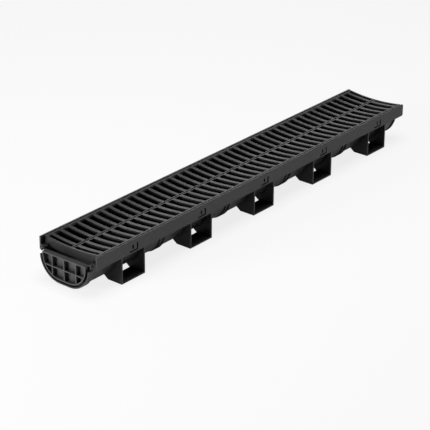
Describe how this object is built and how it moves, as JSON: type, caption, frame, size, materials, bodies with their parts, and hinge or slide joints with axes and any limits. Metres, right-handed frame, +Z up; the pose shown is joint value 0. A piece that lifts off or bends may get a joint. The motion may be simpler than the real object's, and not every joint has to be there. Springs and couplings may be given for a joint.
{
  "type": "channel drain",
  "caption": "One metre plastic channel drain: round-bottomed channel on box feet, with a slotted dished grate and a ribbed end cap.",
  "frame": {"origin": "centre of the footprint, on the ground under the feet", "axes": "+X along the channel from the capped socket end to the open plain end, +Y across it, +Z up"},
  "size_m": [1.012, 0.146, 0.081],
  "materials": {
    "channel_plastic": "moulded, satin, near black",
    "grate_plastic": "moulded, fine grain, near black",
    "cap_plastic": "moulded, satin, near black"
  },
  "bodies": {
    "root": {"channel": "channel_plastic", "grate": "grate_plastic", "end_cap": "cap_plastic"}
  },
  "joints": []
}
